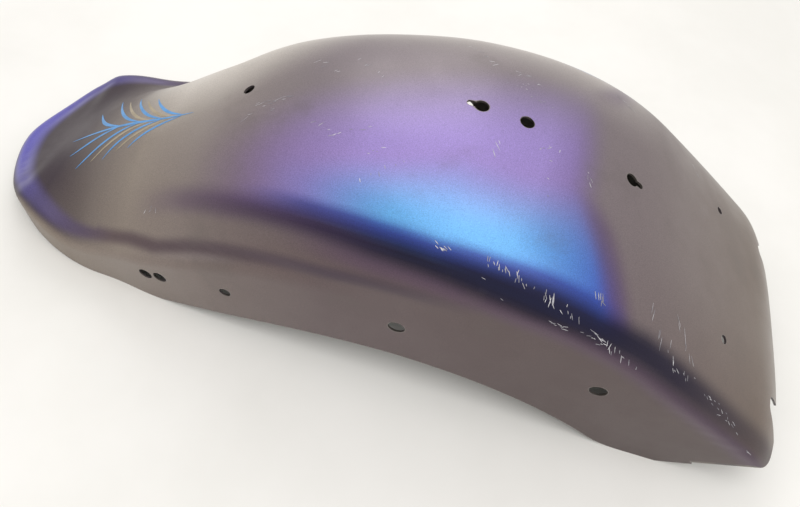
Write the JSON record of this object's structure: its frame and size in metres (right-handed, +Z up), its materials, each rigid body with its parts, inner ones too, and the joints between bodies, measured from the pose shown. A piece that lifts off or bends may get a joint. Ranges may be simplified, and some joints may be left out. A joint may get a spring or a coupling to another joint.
{
  "type": "motorcycle rear fender",
  "caption": "Arched sheet-metal rear fender with a flared tail rim, scalloped hem and notched front edge, pierced for frame, seat and lamp bolts; it covers a motorcycle's rear tyre.",
  "frame": {"origin": "bottom centre of the bounding box: the middle of the length and width, on the ground under the hem", "axes": "+X towards the front edge of the fender, +Y to the motorcycle's left, +Z up"},
  "size_m": [0.7034, 0.2509, 0.1984],
  "materials": {
    "fender_paint": "satin colour-shift paint, blue over purple to taupe, scratched"
  },
  "bodies": {
    "root": {"fender_shell": "fender_paint"}
  },
  "joints": []
}
